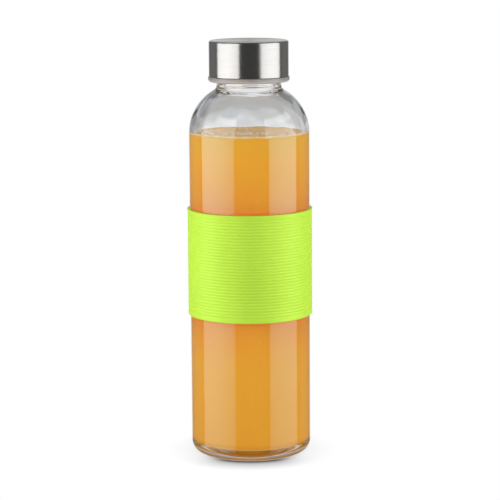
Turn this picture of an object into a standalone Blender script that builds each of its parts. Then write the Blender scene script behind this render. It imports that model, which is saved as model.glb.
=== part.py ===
"""A clear glass bottle of juice with a steel screw cap and a ribbed silicone grip sleeve.

Run it with blender --background --python part.py, or from Blender's text editor.
The bottle stands on z = 0 with its axis on +Z. All lengths are in metres.
"""

import math

import bmesh
import bpy

MM = 0.001

# Driving dimensions of the glass
BODY_RADIUS = 31.75 * MM
WALL = 2.2 * MM
BASE_THICKNESS = 6.0 * MM
HEEL_RADIUS = 6.2 * MM
FOOT_RING_WIDTH = 2.6 * MM
PUSH_UP = 4.0 * MM
SHOULDER_START = 171.4 * MM
SHOULDER_RADIUS = 25.9 * MM
INNER_SHOULDER_RADIUS = 22.7 * MM
NECK_RADIUS = 17.0 * MM
NECK_WALL = 3.0 * MM
NECK_FILLET = 3.0 * MM
INNER_FILLET = 2.5 * MM
NECK_TOP = 216.4 * MM

# Driving dimensions of the screw thread
THREAD_PITCH = 4.0 * MM
THREAD_TURNS = 1.5
THREAD_START = 204.6 * MM
BEAD_RADIUS = 1.1 * MM
BEAD_SINK = 0.3 * MM

# Driving dimensions of the cap
CAP_RADIUS = 20.95 * MM
CAP_TOP = 220.0 * MM
CAP_HEIGHT = 18.8 * MM
CAP_SHEET = 0.6 * MM
CAP_CORNER = 1.0 * MM
FLANGE_RADIUS = 21.4 * MM
FLANGE_HEIGHT = 2.4 * MM
FLANGE_TAPER = 0.9 * MM
LINER_BORE = 18.1 * MM
LINER_TOP_THICKNESS = 2.4 * MM

# Driving dimensions of the sleeve
SLEEVE_BOTTOM = 75.0 * MM
SLEEVE_HEIGHT = 56.7 * MM
SLEEVE_RADIUS = 33.0 * MM
SLEEVE_LIP_PROUD = 0.2 * MM
RIB_PITCH = 1.6 * MM
RIB_DEPTH = 0.2 * MM
GROOVES = 33

# Juice level, and the gap that neighbouring pieces keep
JUICE_LEVEL = 171.5 * MM
FIT_GAP = 0.3 * MM

# How finely round shapes are divided
SEGMENTS = 40
ARC_STEP_DEG = 15.0
HELIX_STEPS = 28
SHARP_ANGLE = math.radians(35.0)
MERGE = 0.001 * MM

GLASS_COLOUR = (0.96, 0.98, 0.97)
JUICE_COLOUR = (0.76, 0.34, 0.035)
STEEL_COLOUR = (0.56, 0.55, 0.54)
LINER_COLOUR = (0.62, 0.59, 0.54)
SLEEVE_COLOUR = (0.52, 0.92, 0.09)


def clear_scene():
    for obj in list(bpy.data.objects):
        bpy.data.objects.remove(obj, do_unlink=True)


def new_collection(name):
    collection = bpy.data.collections.new(name)
    bpy.context.scene.collection.children.link(collection)
    return collection


def principled(name, colour, roughness, metallic=0.0, transmission=0.0, ior=1.5):
    material = bpy.data.materials.new(name)
    material.use_nodes = True
    shader = material.node_tree.nodes["Principled BSDF"]
    shader.inputs["Base Color"].default_value = (*colour, 1.0)
    shader.inputs["Roughness"].default_value = roughness
    shader.inputs["Metallic"].default_value = metallic
    shader.inputs["Transmission Weight"].default_value = transmission
    shader.inputs["IOR"].default_value = ior
    return material


def arc(centre, radius, start_deg, end_deg):
    """Profile points (r, z) on a circle, both ends included."""
    steps = max(1, math.ceil(abs(end_deg - start_deg) / ARC_STEP_DEG))
    points = []
    for step in range(steps + 1):
        angle = math.radians(start_deg + (end_deg - start_deg) * step / steps)
        points.append((centre[0] + radius * math.cos(angle), centre[1] + radius * math.sin(angle)))
    return points


def evaluated_mesh(obj):
    """The object's mesh with its modifiers applied, its curve made solid and its caps welded."""
    bpy.context.view_layer.update()
    graph = bpy.context.evaluated_depsgraph_get()
    mesh = bpy.data.meshes.new_from_object(obj.evaluated_get(graph))
    work = bmesh.new()
    work.from_mesh(mesh)
    bmesh.ops.remove_doubles(work, verts=work.verts, dist=MERGE)
    work.to_mesh(mesh)
    work.free()
    return mesh


def finish_mesh(obj, material):
    """Shades the round faces smooth, keeps the corners sharp and gives the piece its material."""
    obj.data.shade_smooth()
    obj.data.set_sharp_from_angle(angle=SHARP_ANGLE)
    obj.data.materials.clear()
    obj.data.materials.append(material)


def turned(name, profile, ring, collection):
    """A solid of revolution. The profile runs down the outer side; a ring's profile closes on itself."""
    mesh = bpy.data.meshes.new(name)
    edges = [(i, i + 1) for i in range(len(profile) - 1)]
    if ring:
        edges.append((len(profile) - 1, 0))
    mesh.from_pydata([(r, 0.0, z) for r, z in profile], edges, [])
    obj = bpy.data.objects.new(name, mesh)
    collection.objects.link(obj)
    screw = obj.modifiers.new("Turn", "SCREW")
    screw.axis = "Z"
    screw.steps = SEGMENTS
    screw.render_steps = SEGMENTS
    screw.use_merge_vertices = True
    screw.merge_threshold = MERGE
    solid = evaluated_mesh(obj)
    obj.modifiers.remove(screw)
    obj.data = solid
    bpy.data.meshes.remove(mesh)
    solid.name = name
    return obj


def thread_bead(name, centre_radius, start_z, collection):
    """One rounded helical thread as a tube, thinned at both ends so that it runs out into the wall."""
    turn_points = round(HELIX_STEPS * THREAD_TURNS)
    run_out = HELIX_STEPS // 7
    curve = bpy.data.curves.new(name, "CURVE")
    curve.dimensions = "3D"
    curve.bevel_depth = BEAD_RADIUS
    curve.bevel_resolution = 2
    curve.use_fill_caps = True
    spline = curve.splines.new("POLY")
    spline.points.add(turn_points)
    for index, point in enumerate(spline.points):
        angle = 2.0 * math.pi * index / HELIX_STEPS
        height = start_z + THREAD_PITCH * index / HELIX_STEPS
        point.co = (centre_radius * math.cos(angle), centre_radius * math.sin(angle), height, 1.0)
        from_end = min(index, turn_points - index)
        point.radius = min(1.0, 0.15 + 0.85 * from_end / run_out)
    tube = bpy.data.objects.new(name, curve)
    collection.objects.link(tube)
    mesh = evaluated_mesh(tube)
    bpy.data.objects.remove(tube)
    bead = bpy.data.objects.new(name, mesh)
    bead.hide_render = True
    bead.display_type = "WIRE"
    collection.objects.link(bead)
    return bead


def join_thread(obj, bead):
    """Fuses a thread with the wall that carries it."""
    union = obj.modifiers.new("Thread", "BOOLEAN")
    union.operation = "UNION"
    union.solver = "EXACT"
    union.object = bead
    plain = obj.data
    obj.data = evaluated_mesh(obj)
    obj.modifiers.remove(union)
    bpy.data.meshes.remove(plain)
    obj.data.name = obj.name


def shoulder_arcs(fillet, shoulder, neck, body):
    """The neck's fillet and the shoulder arc, top to bottom, tangent to each other and to neck and body."""
    shoulder_axis = body - shoulder
    fillet_axis = neck + fillet
    across = fillet_axis - shoulder_axis
    rise = math.sqrt((fillet + shoulder) ** 2 - across ** 2)
    joint_deg = math.degrees(math.atan2(rise, across))
    upper = arc((fillet_axis, SHOULDER_START + rise), fillet, 180.0, 180.0 + joint_deg)
    lower = arc((shoulder_axis, SHOULDER_START), shoulder, joint_deg, 0.0)
    return upper + lower[1:]


def inner_outline():
    """The bottle's inner wall from the neck down to the axis of the base. The wall thickens up the shoulder."""
    radius = BODY_RADIUS - WALL
    corner = HEEL_RADIUS - WALL
    neck = NECK_RADIUS - NECK_WALL
    points = shoulder_arcs(INNER_FILLET, INNER_SHOULDER_RADIUS, neck, radius)
    points += arc((radius - corner, BASE_THICKNESS + corner), corner, 0.0, -90.0)
    points.append((0.0, BASE_THICKNESS))
    return points


def glass_profile():
    """Inner wall upwards from the base, over the rounded rim, down the outer side and under the foot."""
    lip = NECK_WALL / 2.0
    foot_outer = BODY_RADIUS - HEEL_RADIUS
    foot_inner = foot_outer - FOOT_RING_WIDTH
    sphere = (foot_inner ** 2 + PUSH_UP ** 2) / (2.0 * PUSH_UP)
    rim_deg = 90.0 - math.degrees(math.asin(foot_inner / sphere))
    points = list(reversed(inner_outline()))
    points += arc((NECK_RADIUS - lip, NECK_TOP - lip), lip, 180.0, 0.0)
    points += shoulder_arcs(NECK_FILLET, SHOULDER_RADIUS, NECK_RADIUS, BODY_RADIUS)
    points += arc((foot_outer, HEEL_RADIUS), HEEL_RADIUS, 0.0, -90.0)
    points += arc((0.0, PUSH_UP - sphere), sphere, rim_deg, 90.0)
    return points


def make_glass(collection, cutters):
    glass = turned("bottle_glass", glass_profile(), False, collection)
    bead = thread_bead("glass_thread_bead", NECK_RADIUS - BEAD_SINK, THREAD_START, cutters)
    join_thread(glass, bead)
    finish_mesh(glass, principled("clear_glass", GLASS_COLOUR, 0.0, transmission=1.0, ior=1.5))
    return glass


def juice_profile():
    """The juice up to its level, one gap inside the glass, level with the start of the shoulder."""
    radius = BODY_RADIUS - WALL - FIT_GAP
    corner = HEEL_RADIUS - WALL - FIT_GAP
    bottom = BASE_THICKNESS + FIT_GAP
    points = [(0.0, JUICE_LEVEL), (radius, JUICE_LEVEL)]
    points += arc((radius - corner, bottom + corner), corner, 0.0, -90.0)
    points.append((0.0, bottom))
    return points


def make_juice(collection):
    juice = turned("juice", juice_profile(), False, collection)
    finish_mesh(juice, principled("orange_juice", JUICE_COLOUR, 0.3, ior=1.34))
    return juice


def cap_shell_profile():
    """A drawn steel cup, open at the bottom. Heights are from its lower edge."""
    inner = CAP_RADIUS - CAP_SHEET
    inner_corner = CAP_CORNER - CAP_SHEET
    under_top = CAP_HEIGHT - CAP_SHEET
    points = [(0.0, CAP_HEIGHT)]
    points += arc((CAP_RADIUS - CAP_CORNER, CAP_HEIGHT - CAP_CORNER), CAP_CORNER, 90.0, 0.0)
    points += [(CAP_RADIUS, 0.0), (inner, 0.0)]
    points += arc((inner - inner_corner, under_top - inner_corner), inner_corner, 0.0, 90.0)
    points.append((0.0, under_top))
    return points


def make_cap_shell(collection):
    shell = turned("cap_shell", cap_shell_profile(), False, collection)
    shell.location.z = CAP_TOP - CAP_HEIGHT
    finish_mesh(shell, principled("brushed_steel", STEEL_COLOUR, 0.28, metallic=1.0))
    return shell


def cap_liner_profile():
    """The plastic liner: a cup inside the shell, with a flange that shows below the steel."""
    outer = CAP_RADIUS - CAP_SHEET - FIT_GAP
    top = CAP_TOP - CAP_SHEET - FIT_GAP
    flange_top = CAP_TOP - CAP_HEIGHT - FIT_GAP
    flange_bottom = flange_top - FLANGE_HEIGHT
    chamfer = CAP_CORNER - CAP_SHEET
    seat = top - LINER_TOP_THICKNESS
    return [
        (0.0, top),
        (outer - chamfer, top),
        (outer, top - chamfer),
        (outer, flange_top),
        (FLANGE_RADIUS, flange_top),
        (FLANGE_RADIUS, flange_bottom + FLANGE_TAPER),
        (FLANGE_RADIUS - FLANGE_TAPER, flange_bottom),
        (LINER_BORE, flange_bottom),
        (LINER_BORE, seat),
        (0.0, seat),
    ]


def make_cap_liner(collection, cutters):
    liner = turned("cap_liner", cap_liner_profile(), False, collection)
    bead_start = THREAD_START + THREAD_PITCH / 2.0
    bead = thread_bead("liner_thread_bead", LINER_BORE + BEAD_SINK, bead_start, cutters)
    join_thread(liner, bead)
    finish_mesh(liner, principled("liner_plastic", LINER_COLOUR, 0.45))
    return liner


def sleeve_profile():
    """A soft tube with evenly spaced grooves between two plain lips. Heights are from its lower edge."""
    bore = BODY_RADIUS + FIT_GAP
    round_off = SLEEVE_LIP_PROUD
    lip_radius = SLEEVE_RADIUS + SLEEVE_LIP_PROUD
    first_groove = (SLEEVE_HEIGHT - (GROOVES - 1) * RIB_PITCH) / 2.0
    points = [
        (bore, SLEEVE_HEIGHT),
        (lip_radius - round_off, SLEEVE_HEIGHT),
        (lip_radius, SLEEVE_HEIGHT - round_off),
    ]
    for groove in reversed(range(GROOVES)):
        height = first_groove + groove * RIB_PITCH
        points.append((SLEEVE_RADIUS, height + RIB_PITCH / 2.0))
        points.append((SLEEVE_RADIUS - RIB_DEPTH, height))
    points += [
        (SLEEVE_RADIUS, first_groove - RIB_PITCH / 2.0),
        (SLEEVE_RADIUS, round_off),
        (SLEEVE_RADIUS - round_off, 0.0),
        (bore, 0.0),
    ]
    return points


def make_sleeve(collection):
    sleeve = turned("sleeve", sleeve_profile(), True, collection)
    sleeve.location.z = SLEEVE_BOTTOM
    finish_mesh(sleeve, principled("lime_silicone", SLEEVE_COLOUR, 0.6))
    return sleeve


def main():
    clear_scene()
    parts = new_collection("glass_bottle")
    cutters = new_collection("thread_beads")
    root = bpy.data.objects.new("bottle_root", None)
    parts.objects.link(root)
    pieces = [
        make_glass(parts, cutters),
        make_juice(parts),
        make_cap_shell(parts),
        make_cap_liner(parts, cutters),
        make_sleeve(parts),
    ]
    for piece in pieces:
        piece.parent = root


main()
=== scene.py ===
"""Looks of a shut glass bottle of juice: clear glass, cloudy juice, brushed steel cap, plastic
liner and ribbed silicone grip sleeve. Lengths are in metres, the bottle stands on z = 0."""

import math
import random

import bpy
from mathutils import Matrix, Vector


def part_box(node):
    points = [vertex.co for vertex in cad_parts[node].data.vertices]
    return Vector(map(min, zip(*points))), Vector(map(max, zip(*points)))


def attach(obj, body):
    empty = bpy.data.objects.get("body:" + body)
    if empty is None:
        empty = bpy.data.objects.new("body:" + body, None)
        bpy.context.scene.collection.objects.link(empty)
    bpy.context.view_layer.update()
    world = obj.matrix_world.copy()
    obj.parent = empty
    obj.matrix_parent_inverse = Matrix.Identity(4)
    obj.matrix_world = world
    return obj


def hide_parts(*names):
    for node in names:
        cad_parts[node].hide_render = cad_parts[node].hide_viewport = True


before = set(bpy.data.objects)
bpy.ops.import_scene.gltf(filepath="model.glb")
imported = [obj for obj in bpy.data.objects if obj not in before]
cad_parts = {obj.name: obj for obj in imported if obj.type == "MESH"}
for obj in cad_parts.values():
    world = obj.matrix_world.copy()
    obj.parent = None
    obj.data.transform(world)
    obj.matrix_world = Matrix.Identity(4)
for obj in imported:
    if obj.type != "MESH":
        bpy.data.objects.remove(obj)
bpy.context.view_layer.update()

MM = 0.001

# Sizes of the glass
GLASS_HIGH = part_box("bottle_glass")[1]
BODY_RADIUS = GLASS_HIGH.x
NECK_TOP = GLASS_HIGH.z
WALL = 2.2 * MM
BASE_THICKNESS = 6.0 * MM
HEEL_RADIUS = 6.2 * MM
FOOT_RING_WIDTH = 2.6 * MM
FOOT_EDGE = 0.5 * MM
PUSH_UP = 4.0 * MM
SHOULDER_START = 171.4 * MM
SHOULDER_RADIUS = 25.9 * MM
INNER_SHOULDER_RADIUS = 22.7 * MM
NECK_RADIUS = 17.0 * MM
NECK_WALL = 3.0 * MM
NECK_FILLET = 3.0 * MM
INNER_FILLET = 2.5 * MM

# The unevenness of the inner wall between the juice and the neck
RIPPLE_START = 3.0 * MM
RIPPLE_FADE = 8.0 * MM
RIPPLE_END = 199.0 * MM
RIPPLE_WIDTH = 11.0 * MM
RIPPLE_DEPTH = 0.5 * MM

# Sizes of the screw thread
THREAD_PITCH = 4.0 * MM
THREAD_TURNS = 1.5
THREAD_START = 204.6 * MM
BEAD_RADIUS = 1.1 * MM
BEAD_SINK = 0.3 * MM

# Steps in a turn of the thread, those over which each end thins, and the share of its radius left there
THREAD_STEPS = 64
THREAD_RUN_OUT = 9
THREAD_END_SHARE = 0.15

# Sizes of the juice
JUICE_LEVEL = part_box("juice")[1].z
INTO_WALL = 0.12 * MM
MENISCUS_RISE = 0.7 * MM
MENISCUS_REACH = 2.0 * MM
SKIN = 0.3 * MM
GLASS_IOR = 1.5
JUICE_IOR = 1.34

# The bubbles: how many, how large and where they lie. Names that end in MM are in millimetres
WALL_BUBBLES = 150
WALL_BUBBLE_MM = (0.34, 0.48)
ROW_JITTER = 0.15
ROW_INTO_WALL = 0.28 * MM
STRAY_BUBBLES = 260
STRAY_BUBBLE_MM = (0.18, 0.5)
STRAY_VARIETY = (0.7, 1.0, 1.0, 1.5)
FROM_WALL_RADII = (0.8, 2.4)
ADRIFT_SHARE = 0.3
ADRIFT_MM = (1.0, 9.0)
RAFT_BUBBLES = 34
RAFT_BUBBLE_MM = (0.25, 0.55)
RAFT_SPREAD_MM = (5.5, 0.7)
RAFT_FRONT_ROW_MM = -3.0
RAFT_FORWARD = 5.5 * MM

# Sizes of the cap
CAP_LOW, CAP_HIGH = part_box("cap_shell")
CAP_SHEET = 0.6 * MM
CAP_CORNER = 1.0 * MM
FLANGE_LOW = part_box("cap_liner")[0].z
FLANGE_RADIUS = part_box("cap_liner")[1].x
FLANGE_TAPER = 0.9 * MM
LINER_BORE = 18.1 * MM
LINER_TOP_THICKNESS = 2.4 * MM
TOUCH = 0.04 * MM

# Sizes of the sleeve
SLEEVE_LOW, SLEEVE_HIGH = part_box("sleeve")
LIP_PROUD = 0.2 * MM
LIP_ROUND = 0.45 * MM
RIB_PITCH = 1.6 * MM
RIB_DEPTH = 0.15 * MM
GROOVES = 33
RIB_STEPS = 6

# How finely round shapes are divided
SEGMENTS = 192
ARC_STEP_DEG = 5.0
SMOOTH_ANGLE = math.radians(40.0)
LONG_STRETCH = 3.0 * MM
HOLD = 0.3 * MM
MERGE = 0.001 * MM

# The camera of the photograph, found from the outline of glass, cap and sleeve
FRAME_PIXELS = 500.0
FOCAL_PIXELS = 2168.0
CAMERA_PLACE = Vector((0.0, -1.1375, 0.2945))
CAMERA_PITCH = 0.1619
CAMERA_ROLL = -0.0068
SENSOR_WIDTH = 36.0

# The two soft boxes round the bottle: radius, foot and top, then directions in degrees from the camera's
# side: where each box starts and ends, where its lower part starts, and where that part is brightest
BOX_RADIUS = 1.6
BOX_FOOT = -0.8
BOX_TOP = 1.5
LEFT_BOX = (-102.0, -27.0)
RIGHT_BOX = (32.0, 100.5)
LEFT_LOWER_SIDE = 29.0
RIGHT_LOWER_SIDE = 37.0
BOX_PEAK_DEG = 70.0
BOX_SPREAD_DEG = 40.0
CROWN_LIGHT = 2.7

# The rest of the studio
SURROUND_RADIUS = 6.0
BACKDROP_RADIUS = 30.0
CARD_PITCH_DEG = 45.0
FLOOR_SIZE = 30.0
SHADOW_REACH = 15.0 * MM
NEAR_FLOOR_SIZE = 0.6
AMBER_REACH = 50.0 * MM
LAMP_SIZE = (0.6, 1.2)
LAMP_AIM = Vector((0.0, 0.0, 0.1))
SLEEVE_LAMP_DEG = 79.0
SLEEVE_LAMP_DISTANCE = 1.3


# Modelling helpers

def clear_selection():
    bpy.ops.object.select_all(action="DESELECT")


def pick(obj):
    """Makes obj the one selected and active object."""
    clear_selection()
    obj.select_set(True)
    bpy.context.view_layer.objects.active = obj


def arc(centre, radius, start_deg, end_deg, step_deg=ARC_STEP_DEG):
    """Profile points (r, z) on a circle, both ends included."""
    steps = max(1, math.ceil(abs(end_deg - start_deg) / step_deg))
    points = []
    for step in range(steps + 1):
        angle = math.radians(start_deg + (end_deg - start_deg) * step / steps)
        points.append((centre[0] + radius * math.cos(angle), centre[1] + radius * math.sin(angle)))
    return points


def held(points, ring):
    """Adds a point near both ends of each long straight stretch, so that its smooth shading stays even."""
    result = []
    for here, there in zip(points, points[1:] + points[:1]):
        result.append(here)
        length = math.dist(here, there)
        if length > LONG_STRETCH and (ring or here != points[-1]):
            for share in (HOLD / length, 1.0 - HOLD / length):
                across = here[0] + share * (there[0] - here[0])
                up = here[1] + share * (there[1] - here[1])
                result.append((across, up))
    return result


def draw_profile(name, points, ring):
    """Draws a profile in the XZ plane by extruding one corner from point to point."""
    points = held(points, ring)
    clear_selection()
    bpy.ops.mesh.primitive_plane_add(size=MM)
    obj = bpy.context.object
    obj.name = obj.data.name = name
    bpy.ops.object.mode_set(mode="EDIT")
    bpy.ops.mesh.select_mode(type="VERT")
    bpy.ops.mesh.select_all(action="SELECT")
    bpy.ops.mesh.merge(type="CENTER")
    bpy.ops.transform.translate(value=(points[0][0], 0.0, points[0][1]))
    route = points[1:] + points[:1] if ring else points[1:]
    here = points[0]
    for there in route:
        step = (there[0] - here[0], 0.0, there[1] - here[1])
        bpy.ops.mesh.extrude_vertices_move(TRANSFORM_OT_translate={"value": step})
        here = there
    return obj


def turn(name, points, ring=False):
    """A solid of revolution: its profile spun round the axis, with seam and poles closed."""
    obj = draw_profile(name, points, ring)
    bpy.ops.mesh.select_all(action="SELECT")
    bpy.ops.mesh.remove_doubles(threshold=MERGE)
    bpy.ops.mesh.select_all(action="SELECT")
    bpy.ops.mesh.spin(steps=SEGMENTS, angle=2.0 * math.pi, center=(0, 0, 0), axis=(0, 0, 1))
    bpy.ops.mesh.select_all(action="SELECT")
    bpy.ops.mesh.remove_doubles(threshold=MERGE)
    bpy.ops.mesh.normals_make_consistent(inside=False)
    bpy.ops.object.mode_set(mode="OBJECT")
    return obj


def apply_modifier(obj, modifier):
    pick(obj)
    bpy.ops.object.modifier_apply(modifier=modifier.name)


def finish_piece(obj, material, slot, *nodes):
    """Shades the piece smooth, gives it its finish and sets it in the frame for its CAD nodes."""
    pick(obj)
    bpy.ops.object.shade_smooth_by_angle(angle=SMOOTH_ANGLE)
    obj.data.materials.clear()
    obj.data.materials.append(material)
    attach(obj, "root")
    if nodes:
        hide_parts(*nodes)
    return obj


# Shader maths

class Link:
    """A socket in a node tree. Arithmetic on it adds Math nodes to the tree."""

    def __init__(self, tree, socket=None):
        self.tree = tree
        self.socket = socket

    def node(self, kind, settings=None, inputs=None, output=0):
        """Adds a node: its settings first, then the values or links of its sockets."""
        made = self.tree.nodes.new(kind)
        for name, value in (settings or {}).items():
            setattr(made, name, value)
        for name, value in (inputs or {}).items():
            if isinstance(value, Link):
                self.tree.links.new(value.socket, made.inputs[name])
            else:
                made.inputs[name].default_value = value
        return Link(self.tree, made.outputs[output] if made.outputs else None)

    def maths(self, operation, first, second=None, clamp=False):
        inputs = {0: first}
        if second is not None:
            inputs[1] = second
        return self.node("ShaderNodeMath", {"operation": operation, "use_clamp": clamp}, inputs)

    def __add__(self, other):
        return self.maths("ADD", self, other)

    __radd__ = __add__

    def __sub__(self, other):
        return self.maths("SUBTRACT", self, other)

    def __rsub__(self, other):
        return self.maths("SUBTRACT", other, self)

    def __mul__(self, other):
        return self.maths("MULTIPLY", self, other)

    __rmul__ = __mul__

    def __truediv__(self, other):
        return self.maths("DIVIDE", self, other)

    def __pow__(self, other):
        return self.maths("POWER", self, other)

    def clamped(self):
        return self.maths("ADD", self, 0.0, clamp=True)

    def smooth(self, low, high):
        """0 below low, 1 above high, with a soft step between."""
        settings = {"interpolation_type": "SMOOTHSTEP"}
        inputs = {"Value": self, "From Min": low, "From Max": high}
        return self.node("ShaderNodeMapRange", settings, inputs)

    def mix(self, first, second):
        """The colour first where self is 0, second where it is 1."""
        settings = {"data_type": "RGBA", "clamp_factor": True}
        return self.node("ShaderNodeMix", settings, {0: self, 6: first, 7: second}, output=2)


def rgb(red, green, blue):
    return (red, green, blue, 1.0)


class Finish:
    """A new material: its node tree, its coordinates and its output."""

    def __init__(self, name):
        self.material = bpy.data.materials.new(name)
        self.material.use_nodes = True
        self.tree = self.material.node_tree
        self.tree.nodes.clear()
        self.start = Link(self.tree)
        self.place = self.start.node("ShaderNodeTexCoord", output="Object")
        self.x = self.axis("X")
        self.y = self.axis("Y")
        self.z = self.axis("Z")

    def axis(self, name):
        return self.start.node("ShaderNodeSeparateXYZ", None, {"Vector": self.place}, output=name)

    def from_axis(self):
        """Distance from the bottle's axis."""
        return (self.x * self.x + self.y * self.y) ** 0.5

    def scaled(self, x, y, z):
        """Object coordinates stretched along each axis."""
        inputs = {0: self.place, 1: (x, y, z)}
        return self.start.node("ShaderNodeVectorMath", {"operation": "MULTIPLY"}, inputs)

    def noise(self, vector, scale, detail=2.0, roughness=0.5):
        inputs = {"Vector": vector, "Scale": scale, "Detail": detail, "Roughness": roughness}
        return self.start.node("ShaderNodeTexNoise", None, inputs)

    def bump(self, height, distance, strength=1.0):
        inputs = {"Height": height, "Distance": distance, "Strength": strength}
        return self.start.node("ShaderNodeBump", None, inputs)

    def shader(self, **inputs):
        """A Principled shader. An input's name has _ for its spaces."""
        named = {name.replace("_", " "): value for name, value in inputs.items()}
        return self.start.node("ShaderNodeBsdfPrincipled", None, named)

    def done(self, shader):
        self.start.node("ShaderNodeOutputMaterial", None, {"Surface": shader})
        return self.material


# Materials

def clear_glass():
    """Clear bottle glass with a faint waviness and, in front of the drink, a cooler gloss. Light for what
    it holds passes straight through."""
    f = Finish("clear_glass")
    waves = f.noise(f.scaled(1.0, 1.0, 0.4), 60.0, 1.0)
    smears = f.noise(f.scaled(1.0, 1.0, 0.6), 140.0, 4.0, 0.6).smooth(0.52, 0.8)
    common = {
        "Base_Color": smears.mix(rgb(0.91, 0.93, 0.95), rgb(0.87, 0.885, 0.90)),
        "Roughness": 0.0,
        "IOR": GLASS_IOR,
        "Specular_IOR_Level": 1.0,
        "Transmission_Weight": 1.0,
        "Normal": f.bump(waves, 0.06 * MM, 0.4),
    }
    bare = f.shader(**common)
    cooler = f.shader(Specular_Tint=rgb(0.17, 0.92, 1.0), **common)
    by_drink = f.z.smooth(4 * MM, 9 * MM) * (1.0 - f.z.smooth(JUICE_LEVEL - MM, JUICE_LEVEL + 3 * MM))
    glass = f.start.node("ShaderNodeMixShader", None, {0: by_drink, 1: bare, 2: cooler})
    rays = f.start.node("ShaderNodeLightPath", output="Is Shadow Ray")
    spread = f.start.node("ShaderNodeLightPath", output="Is Diffuse Ray")
    clear = f.start.node("ShaderNodeBsdfTransparent", None, {"Color": rgb(0.97, 0.975, 0.97)})
    both = f.start.maths("MAXIMUM", rays, spread)
    return f.done(f.start.node("ShaderNodeMixShader", None, {0: both, 1: glass, 2: clear}))


def cloudy_juice():
    """Cloudy juice with fine pulp, yellower just under its surface and a little darker towards the bottom.
    Near the sleeve it is painted redder and less green, as painted shade, and at the sleeve's edges a
    brighter red is painted over the contact shadow there, as painted light. Seen at a slant, as along the
    base, it mirrors a little."""
    f = Finish("cloudy_juice")
    # Painted shade: the juice near the sleeve is painted redder and less green.
    above = 1.0 - f.z.smooth(SLEEVE_HIGH.z - 4 * MM, SLEEVE_HIGH.z + 32 * MM)
    below = f.z.smooth(SLEEVE_LOW.z - 28 * MM, SLEEVE_LOW.z + 4 * MM)
    painted_sleeve_shade = (above * below).clamped()
    pulp = f.noise(f.place, 900.0, 3.0, 0.6)
    clouds = f.noise(f.scaled(1.0, 1.0, 0.5), 45.0, 3.0, 0.5)
    # A little darker towards the bottom.
    lower_down = 1.0 - f.z.smooth(15 * MM, 100 * MM)
    near_top = f.z.smooth(JUICE_LEVEL - 11 * MM, JUICE_LEVEL - 3 * MM)
    middle = near_top.mix(rgb(0.77, 0.361, 0.029), rgb(0.74, 0.378, 0.035))
    deep = lower_down.mix(middle, rgb(0.735, 0.334, 0.029))
    body = painted_sleeve_shade.mix(deep, rgb(0.745, 0.263, 0.031))
    cloudy = (clouds.smooth(0.3, 0.7) * 0.35).mix(body, rgb(0.78, 0.375, 0.039))
    flecked = (pulp.smooth(0.56, 0.74) * 0.3).mix(cloudy, rgb(0.83, 0.465, 0.077))
    # Painted light: a brighter red at the sleeve's edges, over the contact shadow there.
    from_top = f.start.maths("ABSOLUTE", f.z - SLEEVE_HIGH.z)
    from_foot = f.start.maths("ABSOLUTE", f.z - SLEEVE_LOW.z)
    painted_edge_light = 1.0 - f.start.maths("MINIMUM", from_top, from_foot).smooth(0.5 * MM, 4 * MM)
    drink = f.shader(
        Base_Color=painted_edge_light.mix(flecked, rgb(1.0, 0.30, 0.042)),
        Roughness=0.6 + pulp * 0.2,
        Specular_IOR_Level=0.0,
        Subsurface_Weight=0.25,
        Subsurface_Radius=(1.0, 0.5, 0.15),
        Subsurface_Scale=4.0 * MM,
        Normal=f.bump(pulp, 0.05 * MM, 0.3),
    )
    mirror = f.shader(Base_Color=rgb(0.84, 0.70, 0.55), Metallic=1.0, Roughness=0.02)
    glancing = f.start.node("ShaderNodeFresnel", None, {"IOR": JUICE_IOR / GLASS_IOR})
    return f.done(f.start.node("ShaderNodeMixShader", None, {0: glancing * 0.4, 1: drink, 2: mirror}))


def juice_top():
    """The wet surface of the juice, with paler pulp afloat."""
    f = Finish("juice_top")
    pulp = f.noise(f.place, 420.0, 4.0, 0.65)
    ripples = f.noise(f.place, 130.0, 2.0, 0.5)
    shader = f.shader(
        Base_Color=pulp.smooth(0.42, 0.68).mix(rgb(0.68, 0.345, 0.04), rgb(0.80, 0.52, 0.15)),
        Roughness=0.12 + pulp * 0.12,
        IOR=1.15,
        Normal=f.bump(ripples, 0.12 * MM, 0.5),
    )
    return f.done(shader)


def brushed_steel():
    """Steel brushed round the side and across the top in fine turning lines."""
    f = Finish("brushed_steel")
    along = f.start.node("ShaderNodeCombineXYZ", None, {"X": f.from_axis(), "Y": f.z, "Z": 0.0})
    lines = f.noise(along, 5200.0, 2.0, 0.6)
    broken = f.noise(f.scaled(1.0, 1.0, 30.0), 90.0, 3.0, 0.6)
    grain = lines * 0.6 + broken * 0.4
    shader = f.shader(
        Base_Color=grain.smooth(0.3, 0.7).mix(rgb(0.388, 0.379, 0.370), rgb(0.453, 0.442, 0.434)),
        Metallic=1.0,
        Roughness=0.21 + grain * 0.08,
        Anisotropic=0.9,
        Anisotropic_Rotation=0.25,
        Normal=f.bump(grain, 0.02 * MM, 0.35),
    )
    return f.done(shader)


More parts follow.
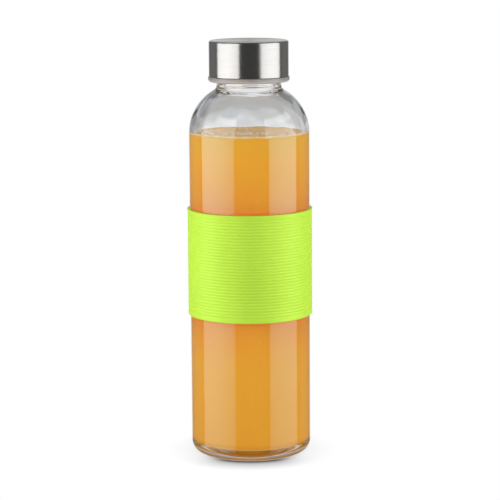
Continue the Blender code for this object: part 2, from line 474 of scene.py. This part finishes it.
def liner_plastic():
    """Natural translucent plastic with a satin skin. It is painted paler towards its lower edge, painted
    light where that edge faces down, and its inner bore is painted near white with a faint glow, painted
    light for the inside of the cap."""
    f = Finish("liner_plastic")
    mottle = f.noise(f.place, 260.0, 3.0, 0.5).smooth(0.35, 0.7)
    # Painted light: paler towards the flange's lower edge, which faces down.
    painted_lower_light = 1.0 - f.z.smooth(FLANGE_LOW, FLANGE_LOW + 2.0 * MM)
    mottled_colour = mottle.mix(rgb(0.235, 0.21, 0.19), rgb(0.285, 0.26, 0.235))
    flange_colour = painted_lower_light.mix(mottled_colour, rgb(0.47, 0.44, 0.415))
    # Painted light: the inner bore is painted near white and glows faintly.
    inside = 1.0 - f.from_axis().smooth(LINER_BORE + 0.2 * MM, LINER_BORE + 0.8 * MM)
    shader = f.shader(
        Base_Color=inside.mix(flange_colour, rgb(0.88, 0.87, 0.86)),
        Emission_Color=inside.mix(rgb(0, 0, 0), rgb(0.20, 0.20, 0.205)),
        Emission_Strength=1.0,
        Roughness=0.34 + mottle * 0.12,
        IOR=1.49,
        Specular_IOR_Level=0.8,
        Subsurface_Weight=0.2,
        Subsurface_Radius=(1.0, 0.9, 0.8),
        Subsurface_Scale=2.0 * MM,
        Normal=f.bump(mottle, 0.03 * MM, 0.3),
    )
    return f.done(shader)


def lime_silicone():
    """Matt silicone with a fine skin and a soft gloss."""
    f = Finish("lime_silicone")
    skin = f.noise(f.place, 1800.0, 3.0, 0.6)
    tone = f.noise(f.scaled(1.0, 1.0, 0.7), 40.0, 2.0, 0.5)
    shader = f.shader(
        Base_Color=tone.smooth(0.3, 0.7).mix(rgb(0.322, 0.516, 0.017), rgb(0.338, 0.537, 0.021)),
        Roughness=0.44 + skin * 0.10,
        IOR=1.5,
        Specular_IOR_Level=0.9,
        Specular_Tint=rgb(0.8, 1.0, 0.5),
        Subsurface_Weight=0.15,
        Subsurface_Radius=(0.8, 1.0, 0.3),
        Subsurface_Scale=1.5 * MM,
        Normal=f.bump(skin, 0.015 * MM, 0.3),
    )
    return f.done(shader)


def juice_foam():
    """The thin wet skin of small bubbles."""
    f = Finish("juice_foam")
    tone = f.noise(f.place, 700.0, 1.0)
    shader = f.shader(
        Base_Color=tone.mix(rgb(0.96, 0.88, 0.74), rgb(0.99, 0.96, 0.91)),
        Roughness=0.08 + tone * 0.06,
        IOR=1.33,
        Transmission_Weight=0.2,
    )
    return f.done(shader)


# The glass

def shoulder_arcs(fillet, shoulder, neck, body):
    """The neck's fillet and the shoulder arc, top to bottom, tangent to each other and to neck and body."""
    shoulder_axis = body - shoulder
    fillet_axis = neck + fillet
    across = fillet_axis - shoulder_axis
    rise = math.sqrt((fillet + shoulder) ** 2 - across ** 2)
    joint_deg = math.degrees(math.atan2(rise, across))
    upper = arc((fillet_axis, SHOULDER_START + rise), fillet, 180.0, 180.0 + joint_deg)
    lower = arc((shoulder_axis, SHOULDER_START), shoulder, joint_deg, 0.0, 2.5)
    return upper + lower[1:]


def inner_outline(grow=0.0):
    """The inner wall from the neck down to the axis of the base, moved into the wall by grow."""
    radius = BODY_RADIUS - WALL + grow
    corner = HEEL_RADIUS - WALL + grow
    base = BASE_THICKNESS - grow
    neck = NECK_RADIUS - NECK_WALL + grow
    points = shoulder_arcs(INNER_FILLET - grow, INNER_SHOULDER_RADIUS + grow, neck, radius)
    points += arc((radius - corner, base + corner), corner, 0.0, -90.0)
    points.append((0.0, base))
    return points


def glass_outline():
    """Inner wall upwards from the base, over the rim, down the outer side and under the foot."""
    lip = NECK_WALL / 2.0
    foot_outer = BODY_RADIUS - HEEL_RADIUS
    foot_inner = foot_outer - FOOT_RING_WIDTH
    dome = foot_inner - FOOT_EDGE
    sphere = (dome ** 2 + (PUSH_UP - FOOT_EDGE) ** 2) / (2.0 * (PUSH_UP - FOOT_EDGE))
    rim_deg = 90.0 - math.degrees(math.asin(dome / sphere))
    points = list(reversed(inner_outline()))
    points += arc((NECK_RADIUS - lip, NECK_TOP - lip), lip, 180.0, 0.0, 15.0)
    points += shoulder_arcs(NECK_FILLET, SHOULDER_RADIUS, NECK_RADIUS, BODY_RADIUS)
    points += arc((foot_outer, HEEL_RADIUS), HEEL_RADIUS, 0.0, -90.0)
    points += arc((foot_inner, FOOT_EDGE), FOOT_EDGE, 270.0, 180.0, 22.5)
    points += arc((0.0, PUSH_UP - sphere), sphere, rim_deg, 90.0, 1.0)[1:]
    return points


def thread_tube(name, centre_radius, start_z):
    """One rounded helical thread, thinned at both ends so that it runs out into the wall."""
    count = round(THREAD_STEPS * THREAD_TURNS)
    clear_selection()
    bpy.ops.curve.primitive_nurbs_path_add()
    tube = bpy.context.object
    tube.name = name
    tube.data.splines.clear()
    spline = tube.data.splines.new("POLY")
    spline.points.add(count)
    for index, point in enumerate(spline.points):
        angle = 2.0 * math.pi * index / THREAD_STEPS
        height = start_z + THREAD_PITCH * index / THREAD_STEPS
        point.co = (centre_radius * math.cos(angle), centre_radius * math.sin(angle), height, 1.0)
        from_end = min(index, count - index)
        point.radius = min(1.0, THREAD_END_SHARE + (1.0 - THREAD_END_SHARE) * from_end / THREAD_RUN_OUT)
    tube.data.bevel_depth = BEAD_RADIUS
    tube.data.bevel_resolution = 4
    tube.data.use_fill_caps = True
    pick(tube)
    bpy.ops.object.convert(target="MESH")
    bpy.ops.object.mode_set(mode="EDIT")
    bpy.ops.mesh.select_all(action="SELECT")
    bpy.ops.mesh.remove_doubles(threshold=MERGE)
    bpy.ops.mesh.normals_make_consistent(inside=False)
    bpy.ops.object.mode_set(mode="OBJECT")
    return tube


def fuse(obj, tool):
    """Joins tool to obj as one body and removes tool."""
    union = obj.modifiers.new("Fuse", "BOOLEAN")
    union.operation = "UNION"
    union.solver = "EXACT"
    union.object = tool
    apply_modifier(obj, union)
    bpy.data.objects.remove(tool)


def uneven_wall(obj):
    """Moves the inner wall above the juice a little in and out, as blown glass is."""
    group = obj.vertex_groups.new(name="inner_wall")
    for vertex in obj.data.vertices:
        radius = math.hypot(vertex.co.x, vertex.co.y)
        rise = (vertex.co.z - JUICE_LEVEL - RIPPLE_START) / RIPPLE_FADE
        depth = (BODY_RADIUS - 0.6 * WALL - radius) / WALL
        under_neck = vertex.co.z < RIPPLE_END
        outside = radius > outer_radius_at(vertex.co.z) - 0.5 * WALL
        if rise > 0.0 and depth > 0.0 and under_neck and not outside:
            group.add([vertex.index], min(1.0, rise), "REPLACE")
    ripple = bpy.data.textures.new("wall_ripple", "CLOUDS")
    ripple.noise_scale = RIPPLE_WIDTH
    ripple.noise_depth = 1
    move = obj.modifiers.new("Ripple", "DISPLACE")
    move.texture = ripple
    move.texture_coords = "LOCAL"
    move.vertex_group = group.name
    move.strength = RIPPLE_DEPTH
    move.mid_level = 0.5
    apply_modifier(obj, move)
    obj.vertex_groups.clear()


def outer_radius_at(height):
    """Radius of the outer wall at this height, above the heel."""
    if height <= SHOULDER_START:
        return BODY_RADIUS
    rise = min(height - SHOULDER_START, SHOULDER_RADIUS)
    on_arc = BODY_RADIUS - SHOULDER_RADIUS + math.sqrt(SHOULDER_RADIUS ** 2 - rise ** 2)
    return max(NECK_RADIUS, on_arc)


def make_glass():
    glass = turn("glass_wall", glass_outline())
    uneven_wall(glass)
    fuse(glass, thread_tube("glass_thread", NECK_RADIUS - BEAD_SINK, THREAD_START))
    return finish_piece(glass, clear_glass(), "glass", "bottle_glass")


# The juice

def surface_outline():
    """The juice's surface from its middle outwards and up the meniscus at the wall."""
    wall = BODY_RADIUS - WALL + INTO_WALL
    steps = 10
    points = [(0.0, JUICE_LEVEL), (wall - 2.0 * MENISCUS_REACH, JUICE_LEVEL)]
    for step in range(1, steps + 1):
        share = step / steps
        radius = wall - MENISCUS_REACH * (1.0 - share)
        points.append((radius, JUICE_LEVEL + MENISCUS_RISE * share ** 3))
    return points


def make_juice():
    wall = BODY_RADIUS - WALL + INTO_WALL
    top = JUICE_LEVEL - SKIN / 2.0
    below = [point for point in inner_outline(INTO_WALL) if point[1] < SHOULDER_START - MM]
    body = turn("juice_body", [(0.0, top), (wall, top)] + below)
    finish_piece(body, cloudy_juice(), "juice", "juice")
    underside = [(wall, JUICE_LEVEL - SKIN), (0.0, JUICE_LEVEL - SKIN)]
    surface = turn("juice_surface", surface_outline() + underside)
    finish_piece(surface, juice_top(), "juice")


def afloat(size, x, y):
    """Where a bubble of this size floats, lifted by the meniscus near the glass."""
    inward = BODY_RADIUS - WALL - math.hypot(x, y)
    climb = MENISCUS_RISE * max(0.0, 1.0 - inward / MENISCUS_REACH) ** 3
    return Vector((x, y, JUICE_LEVEL + climb + 0.1 * size))


def bubble_places():
    """Size and place of each bubble: a row clinging to the glass, others strewn, and a small raft."""
    draw = random.Random(7)
    wall = BODY_RADIUS - WALL
    row_height = JUICE_LEVEL + 0.6 * MENISCUS_RISE
    for number in range(WALL_BUBBLES):
        size = draw.uniform(*WALL_BUBBLE_MM) * MM
        angle = 2.0 * math.pi * (number + draw.uniform(-ROW_JITTER, ROW_JITTER)) / WALL_BUBBLES
        radius = wall + ROW_INTO_WALL - size
        yield size, Vector((radius * math.cos(angle), radius * math.sin(angle), row_height))
    for number in range(STRAY_BUBBLES):
        size = draw.uniform(*STRAY_BUBBLE_MM) * MM * draw.choice(STRAY_VARIETY)
        adrift = draw.random() < ADRIFT_SHARE
        inward = draw.uniform(*ADRIFT_MM) * MM if adrift else size * draw.uniform(*FROM_WALL_RADII)
        radius = wall - inward
        angle = draw.uniform(0.0, 2.0 * math.pi)
        yield size, afloat(size, radius * math.cos(angle), radius * math.sin(angle))
    for number in range(RAFT_BUBBLES):
        size = draw.uniform(*RAFT_BUBBLE_MM) * MM
        across = draw.gauss(0.0, RAFT_SPREAD_MM[0]) * MM
        row = draw.choice((RAFT_FRONT_ROW_MM, 0.0, 0.0)) * MM
        yield size, afloat(size, across, row - RAFT_FORWARD + draw.gauss(0.0, RAFT_SPREAD_MM[1]) * MM)


def make_bubbles():
    """Small bubbles where the juice meets the glass, and a few adrift."""
    clear_selection()
    bpy.ops.mesh.primitive_ico_sphere_add(subdivisions=2, radius=1.0)
    first = bpy.context.object
    copies = []
    for size, place in bubble_places():
        copy = first.copy()
        copy.data = first.data.copy()
        copy.data.transform(Matrix.Translation(place) @ Matrix.Scale(size, 4))
        bpy.context.scene.collection.objects.link(copy)
        copies.append(copy)
    bpy.data.objects.remove(first)
    pick(copies[0])
    for copy in copies:
        copy.select_set(True)
    bpy.ops.object.join()
    bubbles = bpy.context.object
    bubbles.name = bubbles.data.name = "juice_bubbles"
    return finish_piece(bubbles, juice_foam(), "juice")


# The cap

def cap_shell_outline():
    """A drawn steel cup with a rounded top edge and a rolled lower edge."""
    radius = CAP_HIGH.x
    inner = radius - CAP_SHEET
    edge = CAP_SHEET / 2.0
    inner_corner = CAP_CORNER - CAP_SHEET
    under_top = CAP_HIGH.z - CAP_SHEET
    points = [(0.0, CAP_HIGH.z)]
    points += arc((radius - CAP_CORNER, CAP_HIGH.z - CAP_CORNER), CAP_CORNER, 90.0, 0.0, 10.0)
    points += arc((radius - edge, CAP_LOW.z + edge), edge, 0.0, -180.0, 30.0)
    points += arc((inner - inner_corner, under_top - inner_corner), inner_corner, 0.0, 90.0, 15.0)
    points.append((0.0, under_top))
    return points


def make_cap_shell():
    shell = turn("cap_steel", cap_shell_outline())
    return finish_piece(shell, brushed_steel(), "steel", "cap_shell")


def cap_liner_outline():
    """The liner: a cup inside the steel with a rounded flange below its edge."""
    outer = CAP_HIGH.x - CAP_SHEET - TOUCH
    top = CAP_HIGH.z - CAP_SHEET - TOUCH
    flange_top = CAP_LOW.z - TOUCH
    seat = top - LINER_TOP_THICKNESS
    round_off = 0.35 * MM
    lower = FLANGE_RADIUS - FLANGE_TAPER
    points = [(0.0, top), (outer - CAP_SHEET, top), (outer, top - CAP_SHEET), (outer, flange_top)]
    points += arc((FLANGE_RADIUS - round_off, flange_top - round_off), round_off, 90.0, 0.0, 15.0)
    points.append((FLANGE_RADIUS, FLANGE_LOW + FLANGE_TAPER))
    points.append((lower + 0.5 * round_off, FLANGE_LOW + 0.3 * round_off))
    points += [(lower - round_off, FLANGE_LOW), (LINER_BORE, FLANGE_LOW), (LINER_BORE, seat), (0.0, seat)]
    return points


def make_cap_liner():
    liner = turn("cap_plastic", cap_liner_outline())
    start = THREAD_START + THREAD_PITCH / 2.0
    fuse(liner, thread_tube("liner_thread", LINER_BORE + BEAD_SINK, start))
    return finish_piece(liner, liner_plastic(), "liner", "cap_liner")


# The sleeve

def sleeve_outline():
    """Rounded lips, and grooves with soft crests between them, down the outer side."""
    bore = BODY_RADIUS + TOUCH
    lip = SLEEVE_HIGH.x
    crest = lip - LIP_PROUD
    low, high = SLEEVE_LOW.z, SLEEVE_HIGH.z
    first = low + (high - low - (GROOVES - 1) * RIB_PITCH) / 2.0
    points = [(bore, high)]
    points += arc((lip - LIP_ROUND, high - LIP_ROUND), LIP_ROUND, 90.0, 0.0, 18.0)
    points.append((crest, high - 3.0 * LIP_ROUND))
    for step in reversed(range(GROOVES * RIB_STEPS + 1)):
        share = step / RIB_STEPS
        height = first + (share - 0.5) * RIB_PITCH
        valley = (0.5 - 0.5 * math.cos(2.0 * math.pi * share)) ** 1.6
        points.append((crest - RIB_DEPTH * valley, height))
    points += arc((crest - LIP_ROUND, low + LIP_ROUND), LIP_ROUND, 0.0, -90.0, 18.0)
    points.append((bore, low))
    return points


def make_sleeve():
    sleeve = turn("grip_sleeve", sleeve_outline(), ring=True)
    return finish_piece(sleeve, lime_silicone(), "silicone", "sleeve")


# The studio

def emitter(f, strength):
    """Ends a finish with light instead of a surface."""
    light = f.start.node("ShaderNodeEmission", None, {"Color": rgb(1, 1, 1), "Strength": strength})
    return f.done(light)


def seen_only_by(obj, camera=False, diffuse=False, glossy=False, transmission=False):
    """Shows obj to these kinds of rays alone, and keeps it from casting a shadow."""
    obj.visible_camera = camera
    obj.visible_diffuse = diffuse
    obj.visible_glossy = glossy
    obj.visible_transmission = transmission
    obj.visible_shadow = False


def make_world():
    world = bpy.data.worlds.new("studio")
    world.use_nodes = True
    background = world.node_tree.nodes["Background"]
    background.inputs["Color"].default_value = rgb(1, 1, 1)
    background.inputs["Strength"].default_value = 1.0
    bpy.context.scene.world = world
    bpy.context.scene.view_settings.view_transform = "Standard"


def pale_floor(name, size, shade, reach, **seen):
    """A glowing white floor with a painted shadow, from ambient occlusion, where the bottle stands within
    reach of it, and clear from below.
    """
    clear_selection()
    bpy.ops.mesh.primitive_plane_add(size=size)
    floor = bpy.context.object
    floor.name = name
    f = Finish(name + "_white")
    settings = {"samples": 16}
    # Painted shadow: the glow is darkened by ambient occlusion near the bottle.
    open_sky = f.start.node("ShaderNodeAmbientOcclusion", settings, {"Distance": reach}, output="AO")
    card = f.start.node("ShaderNodeEmission", None, {"Color": shade(f, open_sky), "Strength": 1.0})
    below = f.start.node("ShaderNodeNewGeometry", output="Backfacing")
    clear = f.start.node("ShaderNodeBsdfTransparent")
    either = f.start.node("ShaderNodeMixShader", None, {0: below, 1: card, 2: clear})
    floor.data.materials.append(f.done(either))
    seen_only_by(floor, **seen)


def soft_shadow(f, open_sky):
    """A painted grey shadow before and behind the foot, painted much lighter beside it."""
    side = f.start.maths("ABSOLUTE", f.x) / (f.from_axis() + 0.1 * MM)
    # Painted light: the shadow is lifted towards the sides of the foot.
    lit = open_sky + (1.0 - open_sky) * 0.8 * side.smooth(0.45, 0.97)
    return lit.mix(rgb(0, 0, 0), rgb(1, 1, 1))


def amber_shadow(f, open_sky):
    """A painted greyed-amber shadow on the glowing floor under the bottle, standing for light that comes
    down through the juice.
    """
    return open_sky.mix(rgb(0.48, 0.35, 0.23), rgb(1, 1, 1))


def make_floor():
    """The floor that the camera sees, and a stretch near the bottle that lights it and shows through it."""
    pale_floor("floor", FLOOR_SIZE, soft_shadow, SHADOW_REACH, camera=True)
    pale_floor("floor_near", NEAR_FLOOR_SIZE, amber_shadow, AMBER_REACH, diffuse=True, transmission=True)


def azimuth(f):
    """Degrees round the bottle from the camera's side, positive to the right."""
    return f.start.maths("ARCTAN2", f.x, 0.0 - f.y) * (180.0 / math.pi)


def within(turned, sides):
    """1 between two directions round the bottle and 0 outside them, with soft edges."""
    start, end = sides
    return turned.smooth(start - 1.0, start + 1.0) * (1.0 - turned.smooth(end - 1.0, end + 1.0))


def backdrop_strength(f):
    """Behind the bottle stand white cards, greyer with height and in the gaps between them, with a soft
    box on each side, and the camera's side is dim. Steps along x and z are in metres on the dome, and the
    others in degrees: off_card from the middle of a card, off_middle from straight behind the bottle."""
    turned = azimuth(f)
    right = f.x.smooth(-0.5, 0.5)
    greyer = 0.30 * f.z.smooth(-3.0, -1.3) + 0.13 * f.z.smooth(-0.9, 0.2) + 0.25 * f.z.smooth(2.0, 9.0)
    straight = 1.0 - greyer
    half = CARD_PITCH_DEG / 2.0
    wrapped = f.start.node("ShaderNodeMath", {"operation": "WRAP"}, {0: turned, 1: half, 2: -half})
    off_card = f.start.maths("ABSOLUTE", wrapped)
    off_middle = 180.0 - f.start.maths("ABSOLUTE", turned)
    gaps = 0.12 * off_card.smooth(2.0, 13.0) + 0.55 * off_card.smooth(11.0, 20.0)
    to_side = off_middle.smooth(18.0, 26.0) * (1.0 - off_middle.smooth(48.0, 58.0))
    low_part = straight * (1.0 - gaps) * (1.0 - 0.75 * f.z.smooth(-4.2, -3.7) * to_side)
    rims = (0.33 - 0.17 * right) * f.z.smooth(4.5, 6.5) - (0.45 - 0.19 * right) * f.z.smooth(8.5, 10.0)
    lower_right = 0.14 * right * (1.0 - f.z.smooth(0.3, 1.2))
    aside = 0.42 - 0.09 * f.z.smooth(1.0, 2.0) + rims + lower_right + 0.04 * right
    wider_left = 2.5 * (1.0 - right) * (1.0 - f.z.smooth(-1.2, -0.5))
    upper = (off_middle + wider_left).smooth(7.0, 14.0)
    card = right * off_middle.smooth(11.0, 14.0) * (1.0 - off_middle.smooth(20.0, 27.0))
    high_part = straight * (1.0 - upper) + aside * upper + 0.36 * card * (1.0 - f.z.smooth(0.0, 0.8))
    high = f.z.smooth(-2.8, -1.8)
    behind = low_part * (1.0 - high) + high_part * high
    boxes = within(turned, LEFT_BOX) + within(turned, RIGHT_BOX)
    front = within(turned, (LEFT_BOX[1], RIGHT_BOX[0]))
    box_light = 1.9 - 1.3 * f.z.smooth(3.5, 10.0)
    return behind * (1.0 - boxes - front) + box_light * boxes + 0.35 * front


def make_backdrop():
    """The backdrop all round, which only light that passes through the glass meets."""
    clear_selection()
    bpy.ops.mesh.primitive_uv_sphere_add(segments=64, ring_count=64, radius=BACKDROP_RADIUS)
    dome = bpy.context.object
    dome.name = "backdrop"
    f = Finish("backdrop_light")
    dome.data.materials.append(emitter(f, backdrop_strength(f)))
    seen_only_by(dome, transmission=True)


def make_panel(name, sides, strength):
    """A curved soft box round the bottle, seen in reflections only."""
    start_deg, end_deg = sides
    middle = (0, 0, (BOX_FOOT + BOX_TOP) / 2)
    clear_selection()
    bpy.ops.mesh.primitive_cylinder_add(vertices=360, radius=BOX_RADIUS, depth=BOX_TOP - BOX_FOOT,
                                        end_fill_type="NOTHING", location=middle)
    panel = bpy.context.object
    panel.name = name
    bpy.ops.object.transform_apply(location=True)
    bpy.ops.object.mode_set(mode="EDIT")
    bpy.ops.mesh.select_all(action="DESELECT")
    bpy.ops.object.mode_set(mode="OBJECT")
    for face in panel.data.polygons:
        angle = math.degrees(math.atan2(face.center.x, -face.center.y))
        face.select = not start_deg < angle < end_deg
    bpy.ops.object.mode_set(mode="EDIT")
    bpy.ops.mesh.delete(type="FACE")
    bpy.ops.object.mode_set(mode="OBJECT")
    f = Finish(name + "_light")
    panel.data.materials.append(emitter(f, strength(f)))
    seen_only_by(panel, glossy=True)


def panel_strength(f, peak, level, lower_side, crown_side):
    """A lower part that starts at lower_side, brightest towards BOX_PEAK_DEG and dimmer towards the floor,
    and an upper part that is as bright all round and fades with height, but for a bright crown, up to
    crown_side, for the shoulder."""
    away = f.start.maths("ABSOLUTE", azimuth(f))
    off_centre = (away - BOX_PEAK_DEG) / BOX_SPREAD_DEG
    low = f.z.smooth(-0.75, 0.2)
    hump = peak * (1.0 - 0.47 * (off_centre * off_centre)) * (0.25 + 0.75 * low)
    even = f.z.smooth(0.0, 0.06)
    crown = f.z.smooth(0.7, 1.0) * (1.0 - away.smooth(crown_side - 4.0, crown_side + 4.0))
    fading = level * (1.0 - 0.45 * f.z.smooth(0.35, 1.0))
    upper = (fading + CROWN_LIGHT * crown) * (1.0 - 0.9 * f.z.smooth(1.2, BOX_TOP))
    return hump * (1.0 - even) * away.smooth(lower_side - 0.5, lower_side + 0.5) + upper * even


def left_strength(f):
    return panel_strength(f, peak=4.6, level=2.0, lower_side=LEFT_LOWER_SIDE, crown_side=74.0)


def right_strength(f):
    return panel_strength(f, peak=4.25, level=1.92, lower_side=RIGHT_LOWER_SIDE, crown_side=110.0)


def surround_strength(f):
    """Dim room for reflections, with the pale backdrop straight behind the bottle but not overhead."""
    away = f.start.maths("ABSOLUTE", azimuth(f))
    pale = away.smooth(154.0, 170.0) * (1.0 - f.z.smooth(4.2, 5.2))
    return 0.094 + 0.18 * away.smooth(96.0, 118.0) - 0.07 * away.smooth(128.0, 148.0) + 0.53 * pale


def make_surround():
    clear_selection()
    bpy.ops.mesh.primitive_uv_sphere_add(segments=64, ring_count=32, radius=SURROUND_RADIUS)
    dome = bpy.context.object
    dome.name = "dim_surround"
    f = Finish("dim_surround_light")
    dome.data.materials.append(emitter(f, surround_strength(f)))
    seen_only_by(dome, glossy=True)


def make_lamp(name, place, watts):
    """A lamp that points at the bottle and lights surfaces without showing in them."""
    data = bpy.data.lights.new(name, "AREA")
    data.shape = "RECTANGLE"
    data.size, data.size_y = LAMP_SIZE
    data.energy = watts
    lamp = bpy.data.objects.new(name, data)
    lamp.location = place
    lamp.rotation_euler = (LAMP_AIM - Vector(place)).to_track_quat("-Z", "Y").to_euler()
    bpy.context.scene.collection.objects.link(lamp)
    seen_only_by(lamp, diffuse=True)
    return lamp


def light_sleeve(sleeve):
    """Two lamps at the sides that light the sleeve alone and leave the juice as it is."""
    lit = bpy.data.collections.new("lit_sleeve")
    lit.objects.link(sleeve)
    for name, side, watts in (("sleeve_left", -1.0, 12.6), ("sleeve_right", 1.0, 11.8)):
        turned = math.radians(side * SLEEVE_LAMP_DEG)
        across = SLEEVE_LAMP_DISTANCE * math.sin(turned)
        towards_camera = SLEEVE_LAMP_DISTANCE * math.cos(turned)
        lamp = make_lamp(name, (across, -towards_camera, LAMP_AIM.z), watts)
        lamp.light_linking.receiver_collection = lit


def make_camera():
    data = bpy.data.cameras.new("camera")
    data.sensor_width = SENSOR_WIDTH
    data.lens = FOCAL_PIXELS / FRAME_PIXELS * SENSOR_WIDTH
    camera = bpy.data.objects.new("camera", data)
    camera.location = CAMERA_PLACE
    tilt = Matrix.Rotation(math.pi / 2.0 - CAMERA_PITCH, 3, "X")
    camera.rotation_euler = (tilt @ Matrix.Rotation(CAMERA_ROLL, 3, "Z")).to_euler()
    bpy.context.scene.collection.objects.link(camera)
    bpy.context.scene.camera = camera


def make_studio(sleeve):
    make_world()
    make_floor()
    make_backdrop()
    make_panel("left_panel", LEFT_BOX, left_strength)
    make_panel("right_panel", RIGHT_BOX, right_strength)
    make_surround()
    make_lamp("left_lamp", place=(-1.2, -0.5, 0.5), watts=3.2)
    make_lamp("right_lamp", place=(1.2, -0.5, 0.5), watts=2.0)
    light_sleeve(sleeve)
    make_camera()


make_glass()
make_juice()
make_bubbles()
make_cap_shell()
make_cap_liner()
make_studio(make_sleeve())
